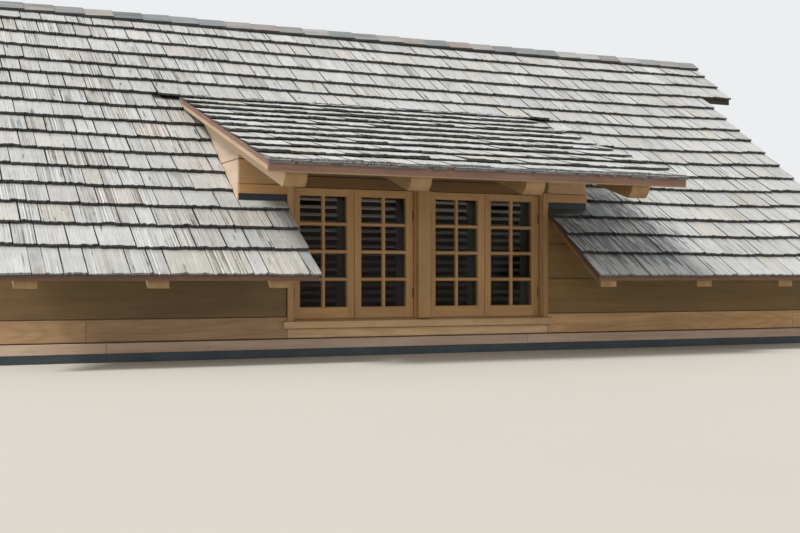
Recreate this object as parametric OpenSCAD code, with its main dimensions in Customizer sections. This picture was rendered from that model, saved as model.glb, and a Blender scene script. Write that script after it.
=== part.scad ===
// Wall dormer with paired casement windows under a low shed roof, built into
// the eaves of a steeper shake roof. Millimetres. +Z is up, +X runs along the
// wall to the right as seen from outside, and +Y points into the building.
// The origin is on the underside of the floor, below the middle of the window,
// in the plane of the outer face of the front wall.

/* [Casement window] */
// Width of one sash
sash_w = 480; // [380:10:600]
// Height of one sash
sash_h = 958; // [760:2:1100]
// Thickness of a sash
sash_t = 42; // [35:1:54]
// Width of the sash stiles
stile_w = 58; // [45:1:75]
// Height of the top rail of a sash
top_rail_h = 55; // [45:1:80]
// Height of the bottom rail of a sash
bottom_rail_h = 85; // [65:1:120]
// Thickness of the glass
glass_t = 4; // [3:1:8]
// How far the glass runs into the sash
glass_seat = 8; // [5:1:12]
// Gap round the edge of the glass
glass_gap = 2; // [1:0.5:3]
// Width of the slope moulded round the glass
moulding = 8; // [4:1:12]
// Gap between a sash and what it closes against
sash_gap = 3; // [2:0.5:5]
// Width of the stop that the sashes close against
stop_w = 12; // [8:1:18]
// How far the sashes sit behind the face of the wall
sash_recess = 40; // [25:1:60]
// Width of the post between the two pairs of sashes
mullion_w = 128; // [100:1:180]
// Width of the cover board on that post
mullion_cover_w = 100; // [70:1:128]
// Thickness of the frame boards that line the opening
jamb_t = 32; // [25:1:45]
// Depth of the frame boards from front to back
jamb_d = 120; // [100:1:150]
// Width of the flat casing boards beside the window
casing_w = 46; // [40:1:80]
// Height of the casing board over the window
head_casing_h = 66; // [45:1:100]
// Thickness of the casing boards
casing_t = 20; // [16:1:30]
// How much of the frame's edge the casing leaves bare
casing_reveal = 22; // [10:1:30]
// Height of the underside of the sashes above the bottom of the wall
sash_sill_z = 275; // [240:5:500]
// Height of the nose of the sill
sill_nose_h = 50; // [35:1:70]
// How far the sill stands out from the wall
sill_out = 42; // [25:1:70]
// How far the sill runs past the casings
sill_horn = 34; // [10:1:60]
// Fall of the sill from the sashes to its nose
sill_fall = 14; // [8:1:25]
// Width and depth of the drip groove under the sill
groove = 6; // [4:1:9]
// Distance of that groove from the front of the sill
groove_inset = 8; // [5:1:14]
// Radius of a hinge knuckle
hinge_r = 7; // [5:0.5:10]
// Length of a hinge knuckle
hinge_h = 75; // [60:5:110]
// Distance of the hinges from the top and bottom of a sash
hinge_inset = 150; // [80:5:250]

/* [Walls] */
// Thickness of the outer walls
wall_t = 140; // [100:5:200]
// Thickness of the floor
floor_t = 40; // [25:5:80]
// Distance from the window's middle to the outer face of the left end wall
wall_left = 3150; // [2500:10:4000]
// Distance from the window's middle to the outer face of the right end wall
wall_right = 3767; // [3300:1:4500]
// Half the width of the dormer over its side walls
dormer_half = 1450; // [1400:5:1700]
// Thickness of the dormer's side walls
cheek_t = 110; // [90:5:150]
// Height of the metal strip along the foot of the wall
base_flash_h = 60; // [30:1:100]
// Thickness of that strip, as folded
base_flash_t = 8; // [4:1:12]
// Height of the board along the foot of the wall
base_trim_h = 70; // [50:1:100]
// Thickness of trim boards
trim_t = 18; // [14:1:25]
// Open joint where trim meets at a corner
corner_gap = 2; // [1:0.5:4]
// Height of the trim board on the walls beside the window
wing_trim_h = 65; // [45:1:90]
// Thickness of flashing metal, as folded
flash_t = 4; // [2:0.5:6]
// Height of the flashing on the walls beside the window
flash_up = 40; // [20:1:80]
// Length of the flashing apron down the shakes
flash_out = 90; // [50:5:150]

/* [Main roof] */
// Pitch of the main roof in degrees
main_pitch = 35.2; // [30:0.1:40]
// Overhang of the main eaves, to the back of the fascia
main_overhang = 700; // [500:10:900]
// Height of the top of the roof boards at the back of the main fascia
main_eave_z = 609; // [560:1:700]
// Distance from the front wall to the ridge
ridge_y = 2600; // [2300:10:3200]
// Thickness of the roof boards
deck_t = 20; // [18:1:35]
// Width of the main rafters
tail_w = 140; // [90:1:160]
// Depth of the main rafters
tail_d = 64; // [45:1:120]
// Spacing of the main rafters
tail_step = 805; // [600:5:900]
// Distance of the short rafter left of the window from the cut end of the eaves
short_left = 265; // [180:1:280]
// Distance of the short rafter right of the window from the cut end of the eaves
short_right = 101; // [90:1:200]
// Distance of the first full rafter on the right from the dormer's side wall
first_right = 637; // [250:1:750]
// Thickness of the beams under the ridge and at the head of the dormer
beam_w = 60; // [45:5:80]
// Depth of the beam under the ridge
ridge_beam_d = 190; // [120:5:240]
// Gap between the window's casing and the cut ends of the main eaves
eave_clear = 2; // [1:0.5:20]
// Overhang of the roof at the right end wall
gable_overhang = 363; // [200:1:500]
// Further reach of the uppermost courses at that end
prow_out = 390; // [200:10:600]
// Number of those courses, counted from the ridge
prow_courses = 4; // [3:1:5]
// How far the layer under the lowest of them shows
prow_lip = 6; // [2:1:12]

/* [Shakes] */
// Length of each course that shows
exposure = 248; // [200:1:280]
// Length of the lowest main course that shows
first_exposure = 308; // [200:1:330]
// Thickness of the covering at the thick end of a course
cover_high = 28; // [24:1:40]
// Thickness of the covering where the next course begins
cover_low = 8; // [5:1:15]
// How far the shakes run past the fascia
drip = 28; // [15:1:40]
// How far the shakes run past a board at a sloping edge
side_drip = 10; // [5:1:25]
// Number of main courses below the head of the dormer roof
head_course = 10; // [9:1:11]
// How much the course over the head of the dormer is lifted
head_lift = 26; // [20:1:40]
// Length of each leg of the ridge cap
cap_leg = 135; // [100:5:180]
// Height of the underside of the ridge cap above the roof boards
cap_seat = 12; // [10:1:20]
// Thickness of the ridge cap
cap_t = 24; // [18:1:40]
// Height of the raised ends of the cap pieces
cap_step = 7; // [4:1:15]
// Number of cap pieces along the ridge
cap_count = 30; // [20:1:40]

/* [Dormer roof] */
// Pitch of the dormer roof in degrees
dormer_pitch = 16.9; // [14:0.1:18]
// Overhang of the dormer eave, to the back of the fascia
dormer_overhang = 1105; // [900:5:1200]
// Height of the top of the dormer's roof boards at the back of its fascia
dormer_eave_z = 1308; // [1290:1:1350]
// Overhang of the dormer roof at its side walls, over its edge boards
dormer_side_out = 132; // [90:1:250]
// Width and depth of the dormer rafters
rafter_d = 150; // [110:5:170]
// Distance of the leftmost rafter's middle from the outer face of the side wall
rafter_in_left = 58; // [50:1:70]
// Distance of the rightmost rafter's middle from the outer face of the side wall
rafter_in_right = 244; // [200:1:280]
// Number of dormer rafters
rafter_count = 4; // [3:1:5]
// Radius of the rounded end of a dormer rafter
nose_r = 110; // [60:5:140]
// Height of the centre of that rounding above the underside of the rafter
nose_rise = 82; // [50:1:110]

/* [Fascias] */
// Thickness of fascia and edge boards
fascia_t = 22; // [16:1:30]
// Height of the main fascia
main_fascia_h = 38; // [30:1:70]
// Height of the dormer fascia
dormer_fascia_h = 60; // [45:1:90]
// Depth of the sloping edge boards
rake_d = 62; // [45:1:90]

/* [Hidden] */
$fn = 64;

// Window, worked out from the sashes
pair_w = 2 * sash_w + 3 * sash_gap;
open_half = mullion_w / 2 + pair_w;
frame_half = open_half + jamb_t;
frame_bottom = sash_sill_z - sash_gap;
open_top = sash_sill_z + sash_h + sash_gap;
frame_top = open_top + jamb_t;
casing_in = frame_half - casing_reveal;
casing_out = casing_in + casing_w;
head_casing_z = frame_top - casing_reveal;
sill_front = frame_bottom - sill_fall;
sill_bottom = sill_front - sill_nose_h;
light_w = sash_w - 2 * stile_w;
light_h = sash_h - bottom_rail_h - top_rail_h;
glass_y = (sash_t - glass_t) / 2;
sash_back = sash_recess + sash_t;
stop_d = jamb_d - sash_back;
post_y = sash_recess - 2 * hinge_r - sash_gap;
eave_gap_half = casing_out + eave_clear + side_drip;
// How far a cut runs past the face that it opens
over = 1;

// Roof planes. An offset is measured square to the plane, up from the top of
// the roof boards.
function main_z(y, up) = main_eave_z + (y + main_overhang) * tan(main_pitch)
    + up / cos(main_pitch);
function dormer_z(y, up) = dormer_eave_z + (y + dormer_overhang) * tan(dormer_pitch)
    + up / cos(dormer_pitch);
// Where a plane of the dormer roof runs into a plane of the main roof
function meet_y(main_up, dormer_up) = (dormer_z(0, dormer_up) - main_z(0, main_up))
    / (tan(main_pitch) - tan(dormer_pitch));
// A point of the main roof from its distance up the slope and its offset
main_foot = [-main_overhang - fascia_t - drip, main_z(-main_overhang - fascia_t - drip, 0)];
function main_pt(along, up) = [
    main_foot[0] + along * cos(main_pitch) - up * sin(main_pitch),
    main_foot[1] + along * sin(main_pitch) + up * cos(main_pitch)];
// Distance up the slope of the thick ends of a main course
function main_course(i) = i == 0 ? 0 : first_exposure + (i - 1) * exposure;
dormer_foot = [-dormer_overhang - fascia_t - drip,
    dormer_z(-dormer_overhang - fascia_t - drip, 0)];
function dormer_pt(along, up) = [
    dormer_foot[0] + along * cos(dormer_pitch) - up * sin(dormer_pitch),
    dormer_foot[1] + along * sin(dormer_pitch) + up * cos(dormer_pitch)];
main_length = (ridge_y - main_foot[0]) / cos(main_pitch);
main_courses = 1 + ceil((main_length - first_exposure) / exposure);
dormer_length = (meet_y(0, cover_high) - dormer_foot[0]) / cos(dormer_pitch);
dormer_courses = ceil(dormer_length / exposure);
top_course = main_courses - 1;
prow_first = main_courses - prow_courses;
prow_start = main_course(prow_first);
// Back of the fascia under the upper courses where they reach out
prow_y = main_pt(prow_start, 0)[0] + drip + fascia_t;

// Reach of the roofs along the wall
roof_left = -wall_left;
roof_right = wall_right + gable_overhang;
prow_right = roof_right + prow_out;
back_y = ridge_y - wall_t;
rafter_end = back_y - beam_w;
// Longer than the building in any direction
far = 3 * ridge_y;

// Dormer walls and roof
cheek_in = dormer_half - cheek_t;
dormer_roof_half = dormer_half + dormer_side_out;
rafter_step = (2 * dormer_half - rafter_in_left - rafter_in_right) / (rafter_count - 1);
head_y = meet_y(0, -deck_t) - beam_w;
wing_z = main_z(0, cover_high) + flash_up;

// Rafters that run up to the ridge, and short ones that end at the wall
eave_end_x = -eave_gap_half - short_left;
full_left = [for (x = eave_end_x - tail_step; x > roof_left + wall_t + tail_w / 2;
    x = x - tail_step) x];
full_right = [for (x = dormer_half + first_right; x < wall_right - wall_t - tail_w / 2;
    x = x + tail_step) x];
full_x = concat(full_left, full_right);
short_x = [max(roof_left + tail_w / 2, eave_end_x - (len(full_left) + 1) * tail_step),
    eave_end_x, eave_gap_half + short_right, wall_right - tail_w / 2];
dormer_x = [for (i = [0:rafter_count - 1]) -dormer_half + rafter_in_left + i * rafter_step];

// A profile in Y and Z drawn along X
module along_x(x0, x1) {
    translate([x0, 0, 0]) rotate([90, 0, 90]) linear_extrude(x1 - x0) children();
}
module both_sides() {
    children();
    mirror([1, 0, 0]) children();
}
// Everything below a plane of the main roof, or of the dormer roof
module below_main(up) {
    polygon([[-far, -far], [far, -far], [far, main_z(far, up)], [-far, main_z(-far, up)]]);
}
module below_dormer(up) {
    polygon([[-far, -far], [far, -far], [far, dormer_z(far, up)], [-far, dormer_z(-far, up)]]);
}
// Everything above the plane under the ridge cap, from a distance up the slope on
module above_cap(along) {
    polygon([main_pt(along, cap_seat), main_pt(far, cap_seat), main_pt(far, far),
        main_pt(along, far)]);
}
// Stepped section of some courses of the main covering. Both slopes of the ridge
// cap lie on it, so it is cut down there and ends in a wedge behind the ridge.
module main_covering(first, last, lift) {
    steps = [for (i = [first:last]) each [
        main_pt(main_course(i), cover_high + (i == first ? lift : 0)),
        main_pt(main_course(i + 1), cover_low)]];
    difference() {
        polygon(concat([main_pt(main_course(first), 0)], steps,
            [main_pt(main_course(last + 1), 0)]));
        above_cap(main_length - cap_leg);
        translate([2 * ridge_y, 0]) mirror([1, 0]) above_cap(0);
    }
}
// Everything down the main slope from a distance up it
module down_slope(along) {
    polygon([main_pt(along, -far), main_pt(along, far), main_pt(-far, far), main_pt(-far, -far)]);
}
// Section of the main roof boards between two values of Y
module main_boards(y0, y1) {
    polygon([[y0, main_z(y0, -deck_t)], [y1, main_z(y1, -deck_t)],
        [y1, main_z(y1, 0)], [y0, main_z(y0, 0)]]);
}
module main_rafter_section(y0, y1) {
    polygon([[y0, main_z(y0, -deck_t - tail_d)], [y1, main_z(y1, -deck_t - tail_d)],
        [y1, main_z(y1, -deck_t)], [y0, main_z(y0, -deck_t)]]);
}
// Section of the dormer roof boards, cut off on a plane of the main roof
module dormer_boards(cut_up) {
    y0 = -dormer_overhang;
    difference() {
        polygon([[y0, dormer_z(y0, -deck_t)], [far, dormer_z(far, -deck_t)],
            [far, dormer_z(far, 0)], [y0, dormer_z(y0, 0)]]);
        below_main(cut_up);
    }
}
module dormer_covering(cut_up) {
    steps = [for (i = [0:dormer_courses]) each [
        dormer_pt(i * exposure, cover_high),
        dormer_pt((i + 1) * exposure, cover_low)]];
    difference() {
        polygon(concat([dormer_pt(0, 0)], steps,
            [dormer_pt((dormer_courses + 1) * exposure, 0)]));
        below_main(cut_up);
    }
}

// Walls and floor
module floor() {
    color("burlywood") translate([roof_left + wall_t, wall_t, 0])
        cube([wall_left + wall_right - 2 * wall_t, back_y - wall_t, floor_t]);
}
module back_wall() {
    color("tan") along_x(roof_left, wall_right) intersection() {
        translate([back_y, 0]) square([wall_t, far]);
        below_main(-deck_t);
    }
}
module end_wall(x0) {
    along_x(x0, x0 + wall_t) intersection() {
        translate([wall_t, 0]) square([back_y - wall_t, far]);
        below_main(-deck_t);
    }
}
module end_wall_left() {
    color("tan") end_wall(roof_left);
}
module end_wall_right() {
    color("tan") end_wall(wall_right - wall_t);
}
// A length of front wall under the main eaves, with a pocket for each rafter
module front_wall(x0, x1) {
    difference() {
        along_x(x0, x1) intersection() {
            square([wall_t, far]);
            below_main(-deck_t);
        }
        for (x = full_x) along_x(x - tail_w / 2, x + tail_w / 2)
            main_rafter_section(-main_overhang, rafter_end);
    }
}
module front_wall_left() {
    color("tan") front_wall(roof_left, -dormer_half);
}
module front_wall_right() {
    color("tan") front_wall(dormer_half, wall_right);
}
module wall_below_window() {
    color("tan") translate([-frame_half, 0, 0])
        cube([2 * frame_half, wall_t, sill_bottom]);
}
// Wall up to the boards of the dormer roof, with pockets for its rafters
module dormer_front(x0, x1, z0) {
    difference() {
        along_x(x0, x1) intersection() {
            translate([0, z0]) square([wall_t, far]);
            below_dormer(-deck_t);
        }
        dormer_rafter_bars();
    }
}
module dormer_wall_left() {
    color("tan") dormer_front(-dormer_half, -frame_half, 0);
}
module dormer_wall_right() {
    color("tan") dormer_front(frame_half, dormer_half, 0);
}
module wall_over_window() {
    color("tan") dormer_front(-frame_half, frame_half, frame_top);
}
// Side wall of the dormer, from the main roof boards up to its own
module cheek(x0) {
    difference() {
        along_x(x0, x0 + cheek_t) difference() {
            intersection() {
                translate([wall_t, 0]) square([head_y - wall_t, far]);
                below_dormer(-deck_t);
            }
            below_main(0);
        }
        dormer_rafter_bars();
    }
}
module cheek_left() {
    color("navajowhite") cheek(-dormer_half);
}
module cheek_right() {
    color("tan") cheek(cheek_in);
}

// Trim and flashing. A strip along the front, the right end and the back, in
// three lengths with an open joint at each corner
module along_walls(thick, high) {
    length = wall_left + wall_right + thick;
    translate([roof_left, -thick, 0]) cube([length, thick, high]);
    translate([roof_left, ridge_y, 0]) cube([length, thick, high]);
    translate([wall_right, corner_gap, 0]) cube([thick, ridge_y - 2 * corner_gap, high]);
}
module base_trim() {
    color("burlywood") translate([0, 0, base_flash_h]) along_walls(trim_t, base_trim_h);
}
module base_flashing() {
    color("slategray") along_walls(base_flash_t, base_flash_h);
}
module wing_trim() {
    color("burlywood") both_sides() translate([casing_out, -trim_t, wing_z])
        cube([dormer_half - casing_out, trim_t, wing_trim_h]);
}
module apron_flashing() {
    run = flash_out * cos(main_pitch);
    color("slategray") both_sides() along_x(eave_gap_half, dormer_half) polygon([
        [0, main_z(0, cover_high)], [0, wing_z], [-flash_t, wing_z],
        [-flash_t, main_z(-flash_t, cover_high + flash_t)],
        [-run, main_z(-run, cover_high + flash_t)], [-run, main_z(-run, cover_high)]]);
}

// Window. Behind the sashes the frame carries a stop all round each pair.
module upright_stop(x0, x1) {
    translate([x0, sash_back, frame_bottom + stop_w])
        cube([x1 - x0, stop_d, open_top - frame_bottom - 2 * stop_w]);
}
module level_stops(z0, high) {
    both_sides() translate([mullion_w / 2, sash_back, z0]) cube([pair_w, stop_d, high]);
}
module window_jambs() {
    color("peru") both_sides() {
        translate([open_half, 0, frame_bottom]) cube([jamb_t, jamb_d, frame_top - frame_bottom]);
        upright_stop(open_half - stop_w, frame_half);
    }
}
module head_jamb() {
    color("peru") {
        translate([-open_half, 0, open_top]) cube([2 * open_half, jamb_d, jamb_t]);
        level_stops(open_top - stop_w, stop_w + jamb_t);
    }
}
module mullion() {
    half = mullion_w / 2;
    color("peru") {
        translate([-half, post_y, frame_bottom])
            cube([mullion_w, jamb_d - post_y, open_top - frame_bottom]);
        translate([-mullion_cover_w / 2, -casing_t, frame_bottom])
            cube([mullion_cover_w, jamb_d + casing_t, open_top - frame_bottom]);
        upright_stop(-half - stop_w, half + stop_w);
    }
}
module window_sill() {
    horn = casing_out + sill_horn;
    color("peru") difference() {
        union() {
            along_x(-horn, horn) polygon([[-sill_out, sill_bottom], [jamb_d, sill_bottom],
                [jamb_d, frame_bottom], [sash_recess, frame_bottom], [-sill_out, sill_front]]);
            level_stops(sill_front, sill_fall + stop_w);
        }
        both_sides() translate([frame_half, 0, 0]) cube([far, far, far]);
        translate([-horn - over, -sill_out + groove_inset, sill_bottom - over])
            cube([2 * (horn + over), groove, groove + over]);
    }
}
module side_casings() {
    color("peru") both_sides() difference() {
        translate([casing_in, -casing_t, sill_bottom])
            cube([casing_w, casing_t, head_casing_z - sill_bottom]);
        window_sill();
    }
}
module head_casing() {
    color("peru") translate([-casing_out, -casing_t, head_casing_z])
        cube([2 * casing_out, casing_t, head_casing_h]);
}
function sash_x(i) = (i < 2 ? -open_half : mullion_w / 2) + sash_gap
    + (i % 2) * (sash_w + sash_gap);
module at_each_sash() {
    for (i = [0:3]) translate([sash_x(i), sash_recess, sash_sill_z]) children();
}
// The glazed part of a sash, grown on all sides, between two depths
module light(grow, y0, y1) {
    translate([stile_w - grow, y0, bottom_rail_h - grow])
        cube([light_w + 2 * grow, y1 - y0, light_h + 2 * grow]);
}
// What the slope round the glass leaves open, mitred at its corners
module moulded_light() {
    grow = moulding + over;
    top = bottom_rail_h + light_h;
    side = stile_w + light_w;
    intersection() {
        along_x(0, sash_w) polygon([[-over, bottom_rail_h - grow], [moulding, bottom_rail_h],
            [moulding, top], [-over, top + grow]]);
        linear_extrude(sash_h) polygon([[stile_w - grow, -over], [stile_w, moulding],
            [side, moulding], [side + grow, -over]]);
    }
}
module sashes() {
    color("peru") at_each_sash() difference() {
        cube([sash_w, sash_t, sash_h]);
        light(0, -over, sash_t + over);
        light(glass_seat, glass_y, glass_y + glass_t);
        moulded_light();
    }
}
module glass() {
    color("darkslategray") at_each_sash()
        light(glass_seat - glass_gap, glass_y, glass_y + glass_t);
}
module hinges() {
    color("saddlebrown") both_sides()
        for (x = [mullion_w / 2 + hinge_r, open_half - hinge_r],
            z = [hinge_inset, sash_h - hinge_inset - hinge_h])
            translate([x, sash_recess - hinge_r, sash_sill_z + z])
                cylinder(r = hinge_r, h = hinge_h);
}

// Dormer roof. The rafters stop against the head beam. Over a side wall they
// stop on the main roof boards, and outside it on the main shakes.
module dormer_rafter_bars() {
    difference() {
        dormer_rafters_uncut();
        both_sides() {
            along_x(dormer_half, wall_left) below_main(cover_high);
            along_x(cheek_in, dormer_half) below_main(0);
        }
    }
}
module dormer_rafters_uncut() {
    y0 = -dormer_overhang;
    nose_y = y0 + nose_r;
    nose_z = dormer_z(nose_y, -deck_t - rafter_d) + nose_rise;
    for (x = dormer_x) along_x(x - rafter_d / 2, x + rafter_d / 2) difference() {
        polygon([[y0, dormer_z(y0, -deck_t - rafter_d)], [far, dormer_z(far, -deck_t - rafter_d)],
            [far, dormer_z(far, -deck_t)], [y0, dormer_z(y0, -deck_t)]]);
        difference() {
            translate([y0 - nose_r, nose_z - 2 * nose_r]) square([2 * nose_r, 2 * nose_r]);
            translate([nose_y, nose_z]) circle(nose_r);
        }
        translate([head_y, -far]) square([far, 2 * far]);
    }
}
module dormer_rafters() {
    color("peru") dormer_rafter_bars();
}
module dormer_deck() {
    edge = dormer_roof_half - fascia_t;
    color("sienna") {
        along_x(-dormer_half, dormer_half) dormer_boards(0);
        both_sides() along_x(cheek_in, edge) dormer_boards(cover_high);
    }
}
module dormer_shakes() {
    color("darkgray") {
        along_x(-dormer_half, dormer_half) dormer_covering(0);
        both_sides() along_x(cheek_in, dormer_roof_half + side_drip)
            dormer_covering(cover_high);
    }
}
module dormer_fascia() {
    y1 = -dormer_overhang;
    y0 = y1 - fascia_t;
    foot = dormer_z(y0, 0) - dormer_fascia_h;
    color("rosybrown") along_x(-dormer_roof_half, dormer_roof_half)
        polygon([[y0, foot], [y1, foot], [y1, dormer_z(y1, 0)], [y0, dormer_z(y0, 0)]]);
}
module dormer_rakes() {
    y0 = -dormer_overhang;
    color("rosybrown") both_sides() along_x(dormer_roof_half - fascia_t, dormer_roof_half)
        difference() {
            polygon([[y0, dormer_z(y0, -rake_d)], [far, dormer_z(far, -rake_d)],
                [far, dormer_z(far, 0)], [y0, dormer_z(y0, 0)]]);
            below_main(cover_high);
        }
}
// Beam between the end faces of the dormer rafters and the main boards, with
// thin ends that lie on the boards over the side walls
module head_beam() {
    color("peru") difference() {
        along_x(-dormer_half, dormer_half) intersection() {
            translate([head_y, dormer_z(head_y, -deck_t - rafter_d)]) square([beam_w, far]);
            below_dormer(-deck_t);
        }
        both_sides() along_x(cheek_in, far) below_main(0);
    }
}

// Main roof. The boards at the left and right run on under the side walls, and
// each of these two decks is cut to an outline seen from above.
module main_deck(outline) {
    intersection() {
        linear_extrude(far) polygon(outline);
        along_x(-far, far) main_boards(-far, far);
    }
}
module main_deck_left() {
    color("sienna") main_deck([[roof_left, -main_overhang], [-dormer_half, -main_overhang],
        [-dormer_half, wall_t], [-cheek_in, wall_t], [-cheek_in, ridge_y],
        [roof_left, ridge_y]]);
}
module main_deck_right() {
    end_x = roof_right - fascia_t;
    prow_x = prow_right - fascia_t;
    color("sienna") main_deck([[dormer_half, -main_overhang], [end_x, -main_overhang],
        [end_x, prow_y], [prow_x, prow_y], [prow_x, ridge_y], [cheek_in, ridge_y],
        [cheek_in, wall_t], [dormer_half, wall_t]]);
}
module main_deck_top() {
    color("sienna") along_x(-cheek_in, cheek_in) main_boards(head_y + beam_w, ridge_y);
}
module eave_decks() {
    color("sienna") both_sides() along_x(eave_gap_half + fascia_t, dormer_half)
        main_boards(-main_overhang, 0);
}
module main_shakes_left() {
    color("darkgray") along_x(roof_left, -dormer_half) main_covering(0, top_course, 0);
}
module main_shakes_right() {
    color("darkgray") difference() {
        along_x(dormer_half, prow_right + side_drip) main_covering(0, top_course, 0);
        along_x(roof_right + side_drip, far) down_slope(prow_start - prow_lip);
    }
}
module main_shakes_top() {
    color("darkgray") along_x(-dormer_half, dormer_half) difference() {
        main_covering(head_course, top_course, head_lift);
        below_dormer(cover_high);
    }
}
module eave_shakes() {
    color("darkgray") both_sides() along_x(eave_gap_half - side_drip, dormer_half)
        intersection() {
            main_covering(0, head_course, 0);
            translate([-far, -far]) square([far, 2 * far]);
        }
}
// Full and short rafters, and a trimmer under each side wall of the dormer
module main_rafters() {
    color("peru") {
        for (x = full_x) along_x(x - tail_w / 2, x + tail_w / 2)
            main_rafter_section(-main_overhang, rafter_end);
        for (x = short_x) along_x(x - tail_w / 2, x + tail_w / 2)
            main_rafter_section(-main_overhang, 0);
        both_sides() along_x(cheek_in, dormer_half) main_rafter_section(wall_t, rafter_end);
    }
}
module main_fascia(x0, x1, y1, high) {
    y0 = y1 - fascia_t;
    foot = main_z(y0, 0) - high;
    along_x(x0, x1) polygon([[y0, foot], [y1, foot], [y1, main_z(y1, 0)], [y0, main_z(y0, 0)]]);
}
module main_fascias() {
    color("rosybrown") {
        main_fascia(roof_left, -eave_gap_half, -main_overhang, main_fascia_h);
        main_fascia(eave_gap_half, roof_right, -main_overhang, main_fascia_h);
        main_fascia(roof_right, prow_right, prow_y, rake_d);
    }
}
module main_rake(x0, y0, y1) {
    along_x(x0, x0 + fascia_t) polygon([[y0, main_z(y0, -rake_d)], [y1, main_z(y1, -rake_d)],
        [y1, main_z(y1, 0)], [y0, main_z(y0, 0)]]);
}
module main_rakes() {
    color("rosybrown") {
        both_sides() main_rake(eave_gap_half, -main_overhang, 0);
        main_rake(roof_right - fascia_t, -main_overhang, prow_y);
        main_rake(prow_right - fascia_t, prow_y, ridge_y);
    }
}
module ridge_beam() {
    color("peru") along_x(roof_left + wall_t, wall_right - wall_t) intersection() {
        translate([rafter_end, main_z(rafter_end, -deck_t - ridge_beam_d)])
            square([beam_w, far]);
        below_main(-deck_t);
    }
}
// Ridge cap, a row of pieces on each slope. They overlap along the ridge, and each
// one rises to its open end. The origin is on the ridge, at the cap's underside.
module cap_row() {
    length = prow_right + side_drip - roof_left;
    piece = length / cap_count;
    tops = [for (i = [0:cap_count - 1]) each [[i * piece, cap_t],
        [(i + 1) * piece, cap_t + cap_step]]];
    difference() {
        rotate([main_pitch + 90, 0, 0]) translate([0, 0, -cap_leg])
            linear_extrude(2 * cap_leg) polygon(concat([[0, 0]], tops, [[length, 0]]));
        translate([-far, -corner_gap / 2, -far]) cube([4 * far, far, 2 * far]);
    }
}
module ridge_cap() {
    color("dimgray") translate([roof_left, ridge_y, main_z(ridge_y, cap_seat)]) {
        cap_row();
        mirror([0, 1, 0]) cap_row();
    }
}

floor();
back_wall();
end_wall_left();
end_wall_right();
front_wall_left();
front_wall_right();
wall_below_window();
dormer_wall_left();
dormer_wall_right();
wall_over_window();
cheek_left();
cheek_right();
base_trim();
base_flashing();
wing_trim();
apron_flashing();
window_jambs();
head_jamb();
mullion();
window_sill();
side_casings();
head_casing();
sashes();
glass();
hinges();
dormer_rafters();
dormer_deck();
dormer_shakes();
dormer_fascia();
dormer_rakes();
head_beam();
main_deck_left();
main_deck_right();
main_deck_top();
eave_decks();
main_shakes_left();
main_shakes_right();
main_shakes_top();
eave_shakes();
main_rafters();
main_fascias();
main_rakes();
ridge_beam();
ridge_cap();
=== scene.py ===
"""Looks of a wall dormer with two pairs of casement windows, set in a shake roof.

Everything is in metres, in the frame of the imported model: +X runs along the wall,
+Y into the building and +Z up. Sizes that the model has are read from its nodes.
"""
import math

import bmesh
import bpy
import numpy as np
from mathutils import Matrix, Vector


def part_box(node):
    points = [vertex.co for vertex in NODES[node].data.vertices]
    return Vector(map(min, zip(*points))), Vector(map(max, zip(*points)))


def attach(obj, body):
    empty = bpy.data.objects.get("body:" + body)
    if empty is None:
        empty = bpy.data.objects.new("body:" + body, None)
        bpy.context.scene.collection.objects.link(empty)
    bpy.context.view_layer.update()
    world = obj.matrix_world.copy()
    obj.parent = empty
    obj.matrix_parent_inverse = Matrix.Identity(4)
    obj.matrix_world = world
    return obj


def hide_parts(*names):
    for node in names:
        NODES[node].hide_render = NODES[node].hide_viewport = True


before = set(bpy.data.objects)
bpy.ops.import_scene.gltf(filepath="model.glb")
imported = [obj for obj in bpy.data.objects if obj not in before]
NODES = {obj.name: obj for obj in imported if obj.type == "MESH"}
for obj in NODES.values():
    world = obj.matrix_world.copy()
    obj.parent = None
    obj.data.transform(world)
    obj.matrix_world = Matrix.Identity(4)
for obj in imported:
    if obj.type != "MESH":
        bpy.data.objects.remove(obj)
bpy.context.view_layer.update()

# Camera, matched to the photograph
CAMERA_PLACE = (-3.772, -8.088, 0.5694)
CAMERA_YAW = -23.86
CAMERA_LENS = 52.79
CAMERA_SHIFT = 0.0151

# Shakes
EXPOSURE = 0.248
FIRST_EXPOSURE = 0.308
COVER_HIGH = 0.028
COVER_LOW = 0.008
LAP = 0.024
STARTER_HIGH = 0.013
SIDE_DRIP = 0.010
SHAKE_WIDTHS = (0.10, 0.30)
NARROW_WIDTHS = (0.10, 0.17)
WIDE_SHARE = 0.75
JOINT_OFFSET = 0.038
JOINT_GAP = 0.008
GAP_SPREAD = (0.6, 1.4)
FIRST_BACK = 0.004
SHORTEST = 0.02
THIN_END = 0.0015
SPLIT_STEP = 0.008
SPLIT_RELIEF = 0.0014
CUP = (-0.0015, 0.002)
LEAN = 0.0015
SKEW = 0.0025
WORN_EDGE = 0.0025
SMOOTHER_BEYOND = -0.8
SMOOTHER_BY = 0.55
EAVE_LIP = 0.011

# Painted shade: how light the thick ends, which look down, and the small pieces under
# an eave are painted. The thick ends are darker end grain as well
BUTT_SHADE = 0.15
FIRST_BUTT_SHADE = 0.4
EAVE_BUTT_SHADE = 0.35
EAVE_SHADE = 0.8

# The main roof's course over the dormer's head, and the courses that reach out
HEAD_COURSE = 10
HEAD_LIFT = 0.024
HEAD_REACH = 0.34
PROW_COURSES = 4

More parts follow.
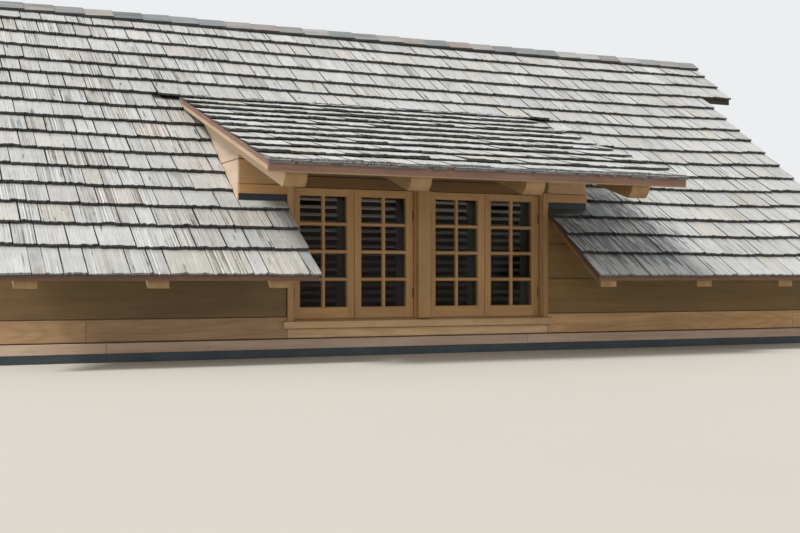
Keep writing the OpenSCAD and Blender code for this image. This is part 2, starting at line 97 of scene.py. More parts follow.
# Millimetres, as measured on the photograph, by which the main courses lie off their even
# places: each course as a whole, then along the roof, below the dormer's head and above
# it, and the drop of the course over the head
COURSE_DRIFT = (0, 6, 22, 24, 22, 26, 17, 12, 9, 9, 9, 1, -15, -8, 11, 19, -1, -1)
LOW_PLACES = (-3.0, -2.5, -2.1, 2.0, 2.5, 3.0, 3.4, 3.8, 4.2)
LOW_DRIFT = (18, 9, 1, 0, -16, -14, 4, 32, 42)
HIGH_PLACES = (-3.0, -2.5, -1.9, -1.2, -0.5, 0.3, 1.5, 2.2, 2.9, 3.3, 3.8, 4.2, 4.6)
HIGH_DRIFT = (15, 8, 0, -10, -33, -40, -50, -50, -46, -40, -6, 5, 15)
HEAD_DROP = 62

# A patch on the main roof right of the dormer, darker and glossier: a water stain off
# the dormer's right end and painted shade together
WET_SHADE_X = 1.55
WET_SHADE_Y = -0.2
WET_SHADE_REACH = 0.6
WET_SHADE_TOP = 1.28

# Ridge cap and edge boards
CAP_PIECES = 30
CAP_LEG = 0.135
CAP_SEAT = 0.012
CAP_TINTS = ((0.60, 0.52, 0.52), (0.54, 0.56, 0.58), (0.44, 0.48, 0.50), (0.74, 0.74, 0.74),
             (0.64, 0.60, 0.58))
RAKE_CAP = 0.030
RAKE_WALL = 0.026

# Wall boards
BOARD_T = 0.006
BOARD_GAP = 0.005
CASING_GAP = 0.004
BOARD_BEVEL = 0.004
FOOT_GAP = 0.006
LOW_JOINTS = (0.292, 0.570, 0.848, 1.126)
HIGH_JOINTS = (1.242, 1.423, 1.604, 1.785, 1.966)
BOARD_STEP = 0.278
BOARD_END_X = -2.509
BOARD_END_RIGHT_X = 3.6
TRIM_END_X = -2.376
SHEET_T = 0.003
APRON_WIDE = 0.09
BEND_Y = -0.0045
SIDING_TOP = -0.022
DECK_UNDER = -0.021
SOFFIT_UNDER = -0.020
SOFFIT_WIDE = 0.14

# Painted light and shade: tints of what lies in more or in less light than its neighbours
LOW_RIGHT_PAINTED_LIGHT = (1.48, 1.42, 1.28)
UNDER_SILL_PAINTED_LIGHT = (1.62, 1.75, 1.9)
EAVE_RIGHT_PAINTED_LIGHT = (1.25, 1.22, 1.02)
RIGHT_RAKE_PAINTED_SHADE = (0.5, 0.5, 0.5)
PROW_FASCIA_PAINTED_SHADE = (0.24, 0.34, 0.20)
STRIP_PAINTED_SHADE = (0.62, 0.55, 0.50)
LOUVRE_FRAME_PAINTED_SHADE = (0.06, 0.055, 0.05)

# Window
STILE_W = 0.058
TOP_RAIL_H = 0.055
BOTTOM_RAIL_H = 0.085
GLASS_IN = 0.006
MOULDING = 0.008
FRAME_EASE = 0.0015
BAR_W = 0.028
BAR_FACE = 0.016
BAR_OVER = 0.004
PANES_HIGH = 4

# Louvred panels in the room behind the windows
LOUVRE_PITCH = 0.0583
LOUVRE_WIDE = 0.047
LOUVRE_THICK = 0.010
LOUVRE_TILT = math.radians(36)
LOUVRE_FIRST = 0.012
LOUVRE_STILE = 0.050
LOUVRE_IN = 0.020
PANEL_Y = (0.186, 0.214)
PANEL_OVER = 0.060
BOX_T = 0.020

# Light
SUN_FROM = (-0.58, -0.12, 0.8)
SUN_STRENGTH = 2.4
SUN_SPREAD = 14
SUN_COLOUR = (1.0, 0.97, 0.92)
SKY_STRENGTH = 0.95
SKY_BRIGHT_SIDE = (-0.62, -0.77, 0.12)
SKY_BRIGHT = (1.0, 0.95, 0.86)
SKY_DARK = (0.42, 0.44, 0.46)
BACKDROP = (236, 238, 240)

# Places read from the model
ROOF_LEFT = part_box("main_shakes_left")[0].x + 0.001
EDGE_RIGHT = max(v.co.x for v in NODES["main_fascias"].data.vertices if v.co.y < -0.5) + 0.006
PROW_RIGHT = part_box("main_shakes_right")[1].x - 0.006
DORMER_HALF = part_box("cheek_right")[1].x
EAVE_INNER = min(abs(v.co.x) for v in NODES["eave_shakes"].data.vertices)
WALL_FACE = -BOARD_T - 0.001
CHEEK_FACE = DORMER_HALF + BOARD_T + 0.002


def rgb(red, green, blue):
    """Linear colour of an sRGB colour given in 0 to 255."""
    return tuple(((c / 255 + 0.055) / 1.055) ** 2.4 for c in (red, green, blue))


def placed(name, data):
    """A new object in the scene."""
    thing = bpy.data.objects.new(name, data)
    bpy.context.collection.objects.link(thing)
    return thing


# Camera
def make_camera():
    data = bpy.data.cameras.new("camera")
    data.lens = CAMERA_LENS
    data.shift_y = CAMERA_SHIFT
    camera = placed("camera", data)
    camera.location = CAMERA_PLACE
    camera.rotation_euler = (math.radians(90), 0, math.radians(CAMERA_YAW))
    bpy.context.scene.camera = camera


make_camera()


# Shader nodes
def feed(tree, socket, value):
    """Links a socket to another one, or sets its value."""
    if isinstance(value, bpy.types.NodeSocket):
        tree.links.new(value, socket)
    else:
        socket.default_value = value


def add(tree, kind, inputs=None, **settings):
    """A shader node with its settings made and its inputs set or linked."""
    node = tree.nodes.new("ShaderNode" + kind)
    for name, value in settings.items():
        setattr(node, name, value)
    for name, value in (inputs or {}).items():
        feed(tree, node.inputs[name], value)
    return node


def calc(tree, operation, first, second=0.0):
    return add(tree, "Math", {0: first, 1: second}, operation=operation).outputs[0]


def times(tree, first, second):
    return calc(tree, "MULTIPLY", first, second)


def clamped(tree, value):
    return calc(tree, "MAXIMUM", calc(tree, "MINIMUM", value, 1.0), 0.0)


def vector(tree, operation, first, second):
    return add(tree, "VectorMath", {0: first, 1: second}, operation=operation).outputs[0]


def axis_of(tree, place, axis):
    return add(tree, "SeparateXYZ", {0: place}).outputs[axis]


def attribute(tree, name, output="Fac"):
    """A value that the points of a piece carry."""
    return add(tree, "Attribute", attribute_name=name).outputs[output]


def object_place(tree):
    return add(tree, "TexCoord").outputs["Object"]


def true_normal(tree):
    return add(tree, "NewGeometry").outputs["True Normal"]


def new_material(name):
    material = bpy.data.materials.new(name)
    material.use_nodes = True
    tree = material.node_tree
    return material, tree, tree.nodes["Principled BSDF"]


def wood_place(tree, axis):
    """Coordinates in the wood, from the piece itself or along an axis of the model,
    and the number of the coordinate that runs with the grain."""
    if axis is None:
        return attribute(tree, "grain", "Vector"), 1
    return object_place(tree), "xyz".index(axis)


def stretched(tree, place, with_grain, across, along):
    """Coordinates scaled by one factor along the grain and by another across it."""
    scale = [across] * 3
    scale[with_grain] = along
    return vector(tree, "MULTIPLY", place, scale)


def streaks(tree, place, with_grain, across, along, detail=3.0, rough=0.5):
    """Noise drawn out along the grain, in waves per metre."""
    return add(tree, "TexNoise", {"Vector": stretched(tree, place, with_grain, across, along),
                                  "Scale": 1.0, "Detail": detail,
                                  "Roughness": rough}).outputs["Fac"]


def weighed(tree, base, *parts):
    """base plus each noise times its weight, with the noise centred on 0."""
    total = base
    for noise, weight in parts:
        swing = times(tree, calc(tree, "SUBTRACT", noise, 0.5), weight)
        total = calc(tree, "ADD", swing, total)
    return total


def scaled_colour(tree, colour, factor):
    return add(tree, "VectorMath", {0: colour, "Scale": factor}, operation="SCALE").outputs[0]


def darkened(colour, share):
    return tuple(share * channel for channel in colour)


def mixed(tree, factor, low, high):
    """Colour between low and high. Colours are the sixth and later sockets of Mix."""
    low, high = [c if isinstance(c, bpy.types.NodeSocket) else (*c, 1.0) for c in (low, high)]
    return add(tree, "Mix", {0: factor, 6: low, 7: high}, data_type="RGBA").outputs[2]


def span(tree, value, low, high, out_low=0.0, out_high=1.0):
    return add(tree, "MapRange", {"Value": value, "From Min": low, "From Max": high,
                                  "To Min": out_low, "To Max": out_high}).outputs[0]


def finish_shader(tree, shader, colour, roughness, height, depth, strength=0.6):
    bump = add(tree, "Bump", {"Height": height, "Distance": depth, "Strength": strength})
    feed(tree, shader.inputs["Base Color"], colour)
    feed(tree, shader.inputs["Roughness"], roughness)
    feed(tree, shader.inputs["Normal"], bump.outputs[0])


# Materials
def shake_material(name):
    """Weathered split wood, combed along its length. Faces that look down, such as its thick
    end, are darker end grain and painted shade as well. The strip just below the butts of
    the next course is painted shade, and a patch right of the dormer is darker and glossier,
    a water stain and painted shade together."""
    material, tree, shader = new_material(name)
    place, with_grain = wood_place(tree, None)
    lines = add(tree, "TexNoise", {"W": axis_of(tree, place, "X"), "Scale": 48.0, "Detail": 1.0},
                noise_dimensions="1D").outputs["Fac"]
    hairs = streaks(tree, place, with_grain, 130, 0.8, 2.0, 0.6)
    groups = streaks(tree, place, with_grain, 12, 2.2, 2.0)
    blotch = streaks(tree, place, with_grain, 7, 6, 5.0, 0.6)
    runs = streaks(tree, place, with_grain, 34, 1.5, 3.0, 0.6)
    crossing = calc(tree, "ABSOLUTE", calc(tree, "SUBTRACT", lines, 0.5))
    grouped = times(tree, span(tree, groups, 0.34, 0.56), attribute(tree, "comb"))
    dark_line = times(tree, span(tree, crossing, 0.085, 0.03), grouped)
    light_line = times(tree, span(tree, lines, 0.62, 0.72), grouped)
    shade = weighed(tree, 1.0, (groups, 0.25), (hairs, 0.6), (blotch, 0.3))
    shade = calc(tree, "SUBTRACT", shade, times(tree, dark_line, 0.68))
    shade = calc(tree, "ADD", shade, times(tree, light_line, 0.32))
    # Painted shade: faces that look down or aside, and the strip just below each next butt
    up = axis_of(tree, true_normal(tree), "Z")
    under = attribute(tree, "under")
    for factor in (span(tree, up, 0.1, 0.6, attribute(tree, "butt")),
                   span(tree, under, -0.060, -0.016, 1.0, 0.80),
                   span(tree, under, -0.014, -0.003, 1.0, 0.40)):
        shade = times(tree, shade, factor)
    shade = calc(tree, "MAXIMUM", shade, 0.05)
    browned = mixed(tree, dark_line, (1.0, 1.0, 1.0), (1.0, 0.92, 0.82))
    colour = vector(tree, "MULTIPLY", attribute(tree, "tint", "Vector"), browned)
    colour = vector(tree, "MINIMUM", scaled_colour(tree, colour, shade), (0.9, 0.9, 0.9))
    # Water stain and painted shade right of the dormer: darker and glossier
    soaked_and_shaded = span(tree, weighed(tree, attribute(tree, "wet"), (runs, 4.5)), 0.6, 0.85)
    dark = vector(tree, "MULTIPLY", colour, (0.30, 0.33, 0.35))
    height = weighed(tree, 0.5, (lines, 1.0), (hairs, 0.5), (groups, 0.5))
    finish_shader(tree, shader, mixed(tree, soaked_and_shaded, colour, dark),
                  span(tree, soaked_and_shaded, 0.0, 1.0, 0.88, 0.5), height, 0.003)
    return material


def wood_material(name, low, high, axis=None, figure=1.0, grime=0.0, rings=0.0, lit_left_of=None):
    """Stained or painted boards: a darker and a lighter colour worked along the grain.
    rings is how much of the growth rings of a wide board shows. Faces that look left are
    painted paler, a painted sunlit side, where x is less than the limit given for it."""
    material, tree, shader = new_material(name)
    low, high = rgb(*low), rgb(*high)
    place, with_grain = wood_place(tree, axis)
    broad = streaks(tree, place, with_grain, 16, 0.9, 4.0, 0.55)
    fine = streaks(tree, place, with_grain, 210, 5, 3.0, 0.6)
    blotch = streaks(tree, place, with_grain, 5, 2.5, 4.0)
    factor = weighed(tree, 0.5, (broad, 1.1 * figure), (fine, 0.7 * figure), (blotch, 0.9))
    colour = mixed(tree, clamped(tree, factor), low, high)
    if rings:
        swirl = streaks(tree, place, with_grain, 4.0, 0.5, 1.0)
        ring = calc(tree, "SINE", times(tree, swirl, 110.0))
        colour = mixed(tree, span(tree, ring, -0.4, 1.0, 0.0, rings), colour, darkened(low, 0.72))
        bent = stretched(tree, place, with_grain, 5.5, 3.1)
        away = add(tree, "TexVoronoi", {"Vector": bent, "Scale": 1.0}).outputs["Distance"]
        colour = mixed(tree, span(tree, away, 0.10, 0.06, 0.0, rings), colour, high)
        colour = mixed(tree, span(tree, away, 0.05, 0.03, 0.0, rings), colour,
                       darkened(low, 0.5))
    if grime:
        dirt = streaks(tree, place, with_grain, 30, 12, 5.0, 0.7)
        worn = span(tree, dirt, 0.55, 0.72, 0.0, grime)
        colour = mixed(tree, worn, colour, darkened(low, 0.5))
    if axis is None:
        colour = vector(tree, "MULTIPLY", colour, attribute(tree, "tint", "Vector"))
    # Painted light: a paler, sunlit-looking left side left of the limit
    if lit_left_of:
        left = span(tree, axis_of(tree, true_normal(tree), "X"), -0.4, -0.8)
        beside = span(tree, axis_of(tree, object_place(tree), "X"), lit_left_of + 0.05, lit_left_of)
        painted_sunlit_side = span(tree, times(tree, left, beside), 0.0, 1.0, 0.0, 0.75)
        colour = mixed(tree, painted_sunlit_side, colour, rgb(236, 208, 176))
    gloss = weighed(tree, 0.62, (blotch, 0.25), (fine, 0.15))
    height = weighed(tree, 0.5, (broad, 0.35), (fine, 0.8))
    finish_shader(tree, shader, colour, gloss, height, 0.0009)
    return material


def metal_material(name, low, high, roughness, metallic=0.0, right_side_shade=1.0):
    """Painted or dull sheet metal with soft stains and small dents. What lies right of the
    window is darkened by the last factor: painted shade and a water stain together."""
    material, tree, shader = new_material(name)
    place = object_place(tree)
    stain = streaks(tree, place, 0, 9, 5, 5.0, 0.6)
    speck = streaks(tree, place, 0, 90, 90, 3.0, 0.6)
    factor = clamped(tree, weighed(tree, 0.5, (stain, 1.6), (speck, 0.5)))
    gloss = weighed(tree, roughness, (stain, 0.3), (speck, 0.1))
    shader.inputs["Metallic"].default_value = metallic
    height = weighed(tree, 0.5, (stain, 0.8), (speck, 0.2))
    # Painted shade and water stain right of the window
    colour = scaled_colour(tree, mixed(tree, factor, rgb(*low), rgb(*high)),
                           span(tree, axis_of(tree, place, "X"), 0.3, 0.4, 1.0, right_side_shade))
    finish_shader(tree, shader, colour, gloss, height, 0.002, 0.4)
    return material


def glass_material():
    """Old glass, slightly wavy, a little dusty and clear enough to see into."""
    material, tree, shader = new_material("window_glass")
    place = object_place(tree)
    wave = streaks(tree, place, 0, 6, 6, 1.0)
    dust = streaks(tree, place, 0, 25, 25, 5.0, 0.7)
    film = span(tree, dust, 0.45, 0.75, 0.0, 0.25)
    colour = mixed(tree, film, rgb(14, 16, 15), rgb(60, 58, 52))
    shader.inputs["IOR"].default_value = 1.45
    shader.inputs["Specular IOR Level"].default_value = 1.0
    shader.inputs["Specular Tint"].default_value = (1.0, 0.97, 0.88, 1.0)
    shader.inputs["Alpha"].default_value = 0.07
    finish_shader(tree, shader, colour, span(tree, film, 0.0, 0.25, 0.03, 0.12), wave, 0.004, 0.25)
    return material


siding = wood_material("siding_stain", (140, 110, 76), (182, 148, 108), grime=0.25)
# Painted shade: a darker copy of the siding stain, for boards under the eaves
siding_painted_shade = wood_material("siding_stain_painted_shade", (102, 80, 50), (138, 112, 74), grime=0.2)
# Painted light: a paler copy of the siding stain, for the shaded boards beside the window
wing_siding_painted_light = wood_material("siding_stain_wing_painted_light", (168, 132, 94), (212, 172, 128), grime=0.2)
# Paler, more figured boards with growth rings, low on the front wall
low_siding = wood_material("siding_stain_low", (150, 120, 88), (196, 162, 124), figure=1.4,
                         grime=0.25, rings=0.2)
sunlit = wood_material("siding_stain_sunlit", (212, 186, 162), (236, 214, 192), grime=0.15)
foot_trim = wood_material("foot_trim_stain", (182, 156, 136), (220, 196, 178), figure=1.3,
                          grime=0.25)
sash_wood = wood_material("frame_stain", (162, 124, 80), (204, 163, 112), grime=0.2)
# Painted shade: a darker copy of the frame stain, for the window's head under the eave
frame_level_painted_shade = wood_material("frame_stain_level_painted_shade", (98, 70, 36), (126, 94, 54), "x", grime=0.2)
frame_z = wood_material("frame_stain_upright", (158, 122, 80), (198, 160, 112), "z", grime=0.2)
wing_trim_wood = wood_material("wing_trim_stain", (162, 120, 74), (204, 158, 106), "x", grime=0.2)
sill_wood = wood_material("sill_stain", (190, 154, 114), (226, 194, 154), "x", 1.3, 0.35)
# Painted light: the left side of the dormer's leftmost rafter is painted as if sunlit
beam_wood = wood_material("rafter_stain", (130, 100, 66), (168, 136, 94), "y", 1.3, lit_left_of=-1.2)
fascia_x = wood_material("fascia_stain", (114, 84, 72), (154, 122, 106), "x", 1.4, 0.35)
fascia_wood = wood_material("fascia_stain_main", (96, 68, 56), (130, 98, 82), None, 1.4, 0.35)
rake_wood = wood_material("rake_stain", (118, 88, 78), (158, 126, 114), None, 1.4, 0.35)
edge_wood = wood_material("edge_stain", (174, 146, 116), (206, 180, 152), grime=0.2)
# Painted shade: the soffit boards are stained darker for the shade under the eaves
soffit_painted_shade = wood_material("soffit_stain_painted_shade", (70, 50, 28), (96, 72, 42), figure=1.2)
old_boards = wood_material("old_roof_boards", (44, 36, 30), (70, 58, 48), "x")
inner_x = wood_material("raw_boards_level", (120, 92, 64), (158, 126, 92), "x")
inner_wall = wood_material("raw_boards_upright", (56, 42, 30), (84, 66, 50), "z")
louvre_paint = wood_material("louvre_paint", (236, 232, 222), (250, 248, 242))
shake_wood = shake_material("weathered_shakes")
slate_metal = metal_material("dark_flashing_metal", (44, 54, 62), (74, 88, 96), 0.42)
# The flashing right of the window is darkened: painted shade and a water stain together
upstand_metal = metal_material("upstand_metal", (26, 34, 42), (46, 58, 68), 0.5, right_side_shade=0.35)
lead_metal = metal_material("pale_flashing_metal", (170, 178, 180), (206, 212, 210), 0.5,
                            right_side_shade=0.15)
hinge_metal = metal_material("hinge_metal", (116, 76, 50), (150, 106, 72), 0.5, 0.3)
glass = glass_material()


# Meshes
BOX_FACES = [[0, 1, 3, 2], [4, 6, 7, 5], [0, 2, 6, 4], [1, 5, 7, 3], [0, 4, 5, 1], [2, 3, 7, 6]]

# What the points of a piece carry besides wood coordinates and tint, with the plain
# value of each: how strongly the wood is combed, how light its thick end is painted, how
# much water stain and painted shade it takes right of the dormer, and how far above the
# next course's butt it lies, which places the painted shade below that butt
PLAIN = {"comb": 0.0, "butt": 0.2, "wet": 0.0, "under": -0.1}


class Build:
    """Vertices and faces of one piece, and what its points carry."""

    def __init__(self, seed):
        self.points, self.faces, self.count = [], [], 0
        self.carried = {kind: [] for kind in ("grain", "tint", *PLAIN)}
        self.random = np.random.default_rng(seed)

    def put(self, points, grain, tint, faces, **more):
        """Adds a solid. more sets what is named in PLAIN."""
        count = len(points)
        shift = self.random.uniform(0, 40, 3)
        self.points.append(np.asarray(points, float))
        self.carried["grain"].append(np.asarray(grain, float) + shift)
        self.carried["tint"].append(np.tile(tint, (count, 1)))
        for kind, plain in PLAIN.items():
            self.carried[kind].append(np.zeros(count) + more.get(kind, plain))
        self.faces += [[i + self.count for i in face] for face in faces]
        self.count += count

    def finish(self, name, slot, material, *replaced):
        mesh = bpy.data.meshes.new(name)
        mesh.from_pydata(np.concatenate(self.points).tolist(), [], self.faces)
        for kind, values in self.carried.items():
            shape, field = ("FLOAT", "value") if kind in PLAIN else ("FLOAT_VECTOR", "vector")
            layer = mesh.attributes.new(kind, shape, "POINT")
            layer.data.foreach_set(field, np.concatenate(values).ravel())
        tidy = bmesh.new()
        tidy.from_mesh(mesh)
        bmesh.ops.recalc_face_normals(tidy, faces=tidy.faces)
        tidy.to_mesh(mesh)
        tidy.free()
        mesh.materials.append(material)
        piece = placed(name, mesh)
        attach(piece, "root")
        if replaced:
            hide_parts(*replaced)


def plain_tint(random, swing=0.06):
    """A tint near white, a little lighter or darker and warmer or colder."""
    level = 1 + random.uniform(-swing, swing)
    warmth = random.uniform(-swing, swing) / 3
    return (level * (1 + warmth), level, level * (1 - warmth))


def inset(outline, by):
    """A convex outline, counter-clockwise, drawn in on all its sides."""
    result = []
    for before, here, after in zip(outline[-1:] + outline[:-1], outline,
                                   outline[1:] + outline[:1]):
        normals = []
        for start, end in ((before, here), (here, after)):
            run, rise = end[0] - start[0], end[1] - start[1]
            length = math.hypot(run, rise)
            normals.append((-rise / length, run / length))
        share = by / (1 + normals[0][0] * normals[1][0] + normals[0][1] * normals[1][1])
        result.append((here[0] + share * (normals[0][0] + normals[1][0]),
                       here[1] + share * (normals[0][1] + normals[1][1])))
    return result


def clip(outline, axis, limit, side):
    """The part of a convex outline above a limit on one axis, or below it for side -1."""
    result = []
    for start, end in zip(outline, outline[1:] + outline[:1]):
        here, there = side * (start[axis] - limit), side * (end[axis] - limit)
        if here >= 0:
            result.append(start)
        if here * there < 0:
            share = here / (here - there)
            result.append(tuple(start[i] + share * (end[i] - start[i]) for i in (0, 1)))
    return result


def stack_faces(count, rings):
    """Faces of a solid between outlines that lie over each other, each of count corners."""
    last = (rings - 1) * count
    faces = [list(range(count))[::-1], list(range(last, last + count))]
    for ring in range(0, last, count):
        faces += [[ring + i, ring + (i + 1) % count, ring + count + (i + 1) % count,
                   ring + count + i] for i in range(count)]
    return faces


def rectangle(s0, s1, z0, z1):
    return [(s0, z0), (s1, z0), (s1, z1), (s0, z1)]


class Wall:
    """A flat face to put boards on. Places on it are (distance along, height, depth out).
    Boards stand out on the side that along and up give, or on the side given as out."""

    def __init__(self, origin, along, up=(0, 0, 1), out=None):
        self.origin = Vector(origin)
        self.along, self.up = Vector(along).normalized(), Vector(up).normalized()
        self.out = out or self.along.cross(self.up)

    def at(self, s, z, out):
        return self.origin + s * self.along + z * self.up + out * self.out


def plank(build, wall, outline, thick, bevel, tint=None):
    """A board with eased edges on a wall, its grain level."""
    rings = ((outline, 0.0), (outline, thick - bevel), (inset(outline, bevel), thick))
    points = [wall.at(s, z, out) for ring, out in rings for s, z in ring]
    grain = [(z, s, out) for ring, out in rings for s, z in ring]
    build.put(points, grain, tint or plain_tint(build.random), stack_faces(len(outline), 3))


def clad(build, wall, outline, joints, ends=None, tint=None):
    """Level boards over a convex outline, parted at the heights in joints. ends gives
    for a board's number the places where boards meet end to end."""
    low = min(z for _, z in outline)
    high = max(z for _, z in outline)
    levels = [low] + [z for z in joints if low + BOARD_GAP < z < high - BOARD_GAP] + [high]
    left, right = min(s for s, _ in outline), max(s for s, _ in outline)
    for number, (z0, z1) in enumerate(zip(levels, levels[1:])):
        stops = [left] + [s for s in (ends or {}).get(number, ()) if left < s < right] + [right]
        for s0, s1 in zip(stops, stops[1:]):
            half = BOARD_GAP / 2
            piece = clip(clip(outline, 1, z0 + half, 1), 1, z1 - half, -1)
            piece = clip(clip(piece, 0, s0 + half / 4, 1), 0, s1 - half / 4, -1)
            if len(piece) > 2:
                plank(build, wall, piece, BOARD_T, BOARD_BEVEL, tint=tint)


def upright(a, b, v):
    return (a, b, v)


def level(a, b, v):
    return (v, a, b)


def level_turned(a, b, v):
    return (v, b, a)


def prism(build, place, profile, start, end, tint=None):
    """A profile drawn out between two distances. place(a, b, v) gives a point."""
    points = [place(a, b, v) for v in (start, end) for a, b in profile]
    grain = [(a, v, b) for v in (start, end) for a, b in profile]
    build.put(points, grain, tint or plain_tint(build.random), stack_faces(len(profile), 2))


# Shakes
def combed(count, size, random):
    """Heights across a split face: narrow waves on broader ones."""
    soft = np.convolve(random.normal(size=count + 4), (0.2, 0.3, 0.3, 0.2), "same")[2:-2]
    broad = np.interp(np.linspace(0, 4, count), range(5), random.normal(size=5))
    return size * (0.9 * soft + 0.6 * broad)


def wetness(spots):
    """How strongly the water stain and painted shade right of the dormer lie at some points,
    from 0 to 1.
    """
    x, y, z = spots.T
    away = ((x - WET_SHADE_X) / WET_SHADE_REACH) ** 2 + ((y - WET_SHADE_Y) / WET_SHADE_REACH) ** 2
    return np.where(z < WET_SHADE_TOP, np.exp(-away ** 1.5), 0.0)


def split_board(build, place, width, length, tops, lows, tint, ragged=0.009, butt=0.2,
                covered=-0.1):
    """A split board: its thick end first, ragged, and its top combed along the grain.

    place(u, v, h) gives the points u across it, v up from its thick end and h high.
    tops and lows are the heights of its top and underside at either end, and covered is
    how much of its thin end the next course lies on.
    """
    random = build.random
    columns = max(3, round(width / SPLIT_STEP) + 1)
    across = np.linspace(0, 1, columns)
    worn_end, worn_top = [combed(columns, SPLIT_RELIEF, random) for _ in range(2)]
    edge = np.abs(combed(columns, ragged, random))
    cup = random.uniform(*CUP)
    lean = random.uniform(-LEAN, LEAN)
    skew = random.uniform(-SKEW, SKEW)
    drop = np.abs(combed(columns, WORN_EDGE, random)) + 0.0008
    shape = cup * (2 * across - 1) ** 2 + lean * (2 * across - 1)
    # Lines across the board: share of its length, how far set back, height of an underside
    sections = []
    for share, offset, high in ((0, 0.001, lows[0]), (0, 0, None), (0, 0.002, 0), (0.4, 0, 0),
                                (0.75, 0, 0), (1, 0, 0), (1, 0, lows[1])):
        v = share * length + (1 - share) * edge + offset
        fall = v / length
        top = tops[0] + (tops[1] - tops[0]) * fall + (1 - fall) * (shape + worn_end) + fall * worn_top
        if high is None:
            top = top - drop
        elif high:
            top = np.full(columns, high) + (1 - share) * shape / 2
        u = across * width + skew * fall
        sections.append((u, v, top))
    u, v, h = (np.stack([s[i] for s in sections], axis=1).ravel() for i in range(3))
    ring = len(sections)
    faces = [[c * ring + r, c * ring + (r + 1) % ring, (c + 1) * ring + (r + 1) % ring,
              (c + 1) * ring + r] for c in range(columns - 1) for r in range(ring)]
    faces += [list(range(ring)), [(columns - 1) * ring + r for r in range(ring)][::-1]]
    spots = place(u, v, h)
    comb = random.uniform(0.1, 1.0) ** 1.3 * (1.0 if spots[0, 0] < SMOOTHER_BEYOND else SMOOTHER_BY)
    build.put(spots, np.stack((u, v, h), axis=1), tint, faces, comb=comb, butt=butt,
              wet=wetness(spots), under=v - length + covered)


COMMON_GREY = np.array(rgb(197, 200, 202))
ODD_GREYS = np.array([rgb(187, 192, 194), rgb(200, 192, 187), rgb(194, 190, 177),
                      rgb(180, 180, 178), rgb(204, 203, 199)])


def shake_tint(random, level=1.0):
    """Weathered grey, now and then bluer, pinker, browner, darker or paler."""
    odd = ODD_GREYS[random.integers(0, len(ODD_GREYS))]
    share = 0.6 * random.uniform(0, 1) ** 2
    bright = level * random.normal(1.0, 0.045)
    return tuple(bright * (COMMON_GREY + share * (odd - COMMON_GREY)))


def over_head(number, x):
    """Whether a main course lies over the dormer's head or close beside it at x."""
    return number == HEAD_COURSE and abs(x) < DORMER_HALF + HEAD_REACH


class Roof:
    """The top of a roof's boards, and how shakes are laid on it. A place on it is (x,
    distance up the slope from the first butts, height square to it).

    jitter is how far the butts lie out of line and uneven how much their thickness
    differs. low and first_low are the undersides of the butts of all courses and of the
    first one, and shade is how light the shakes are.
    """
    jitter, uneven, shade = 0.017, 0.008, 1.10
    low = first_low = 0.010

    def __init__(self, boards, cover):
        faces = [p for p in NODES[boards].data.polygons if p.normal.z > 0.5]
        face = max(faces, key=lambda p: p.area)
        self.out = Vector((0, face.normal.y, face.normal.z)).normalized()
        self.up = Vector((0, self.out.z, -self.out.y))
        reach = [v.co.dot(self.up) for v in NODES[cover].data.vertices]
        self.start, self.length = min(reach), max(reach) - min(reach)
        self.base = face.center.dot(self.out)

    def place(self, x0, along):
        """Points of a board whose corner is at x0 and along, for split_board."""
        def at(u, v, h):
            slope = np.outer(self.start + along + v, self.up) + np.outer(self.base + h, self.out)
            slope[:, 0] += x0 + u
            return slope
        return at

    def spot(self, x, along, high):
        """The point at a place on the roof."""
        return self.place(0.0, 0.0)(*np.array([[x], [along], [high]]))[0]

    def along_at(self, y, high):
        """Distance up the slope where the plane at a height reaches y."""
        return (y - self.base * self.out.y - high * self.out.y) / self.up.y - self.start

    def height(self, y, high):
        """Height of the plane above the ground at y."""
        along = self.along_at(y, high) + self.start
        return along * self.up.z + (self.base + high) * self.out.z

    def even(self, number):
        """Distance up the slope of the butts of a course that lies evenly."""
        return number * EXPOSURE

    def course(self, number, x):
        """Distance up the slope of the butts of a course at x."""
        return self.even(number)

    def lift(self, number, x):
        """How far a course is raised at x."""
        return 0.0


class MainRoof(Roof):
    """The steeper roof, with uneven courses and one lifted over the dormer's head."""
    jitter, uneven, shade = 0.006, 0.003, 1.0
    low, first_low = COVER_LOW, STARTER_HIGH

    def even(self, number):
        return FIRST_EXPOSURE + (number - 1) * EXPOSURE if number else 0.0

    def course(self, number, x):
        if number == 0:
            return 0.0
        if over_head(number, x):
            drift = -HEAD_DROP
        elif number < HEAD_COURSE:
            drift = np.interp(x, LOW_PLACES, LOW_DRIFT)
        else:
            drift = np.interp(x, HIGH_PLACES, HIGH_DRIFT)
        return self.even(number) + (COURSE_DRIFT[number] + drift) / 1000

    def lift(self, number, x):
        return HEAD_LIFT if over_head(number, x) else 0.0


def course_joints(x0, x1, taboo, random):
    """Places of the joints along a course, none of them over a joint of the last one."""
    joints, here = [x0], x0
    while x1 - here > SHAKE_WIDTHS[1]:
        for _ in range(20):
            width = random.uniform(*(SHAKE_WIDTHS if random.random() < WIDE_SHARE
                                     else NARROW_WIDTHS))
            if all(abs(here + width - x) > JOINT_OFFSET for x in taboo):
                break
        here += width
        joints.append(here)
    if x1 - here < SHAKE_WIDTHS[0] / 2 and len(joints) > 1:
        joints.pop()
    return joints + [x1]


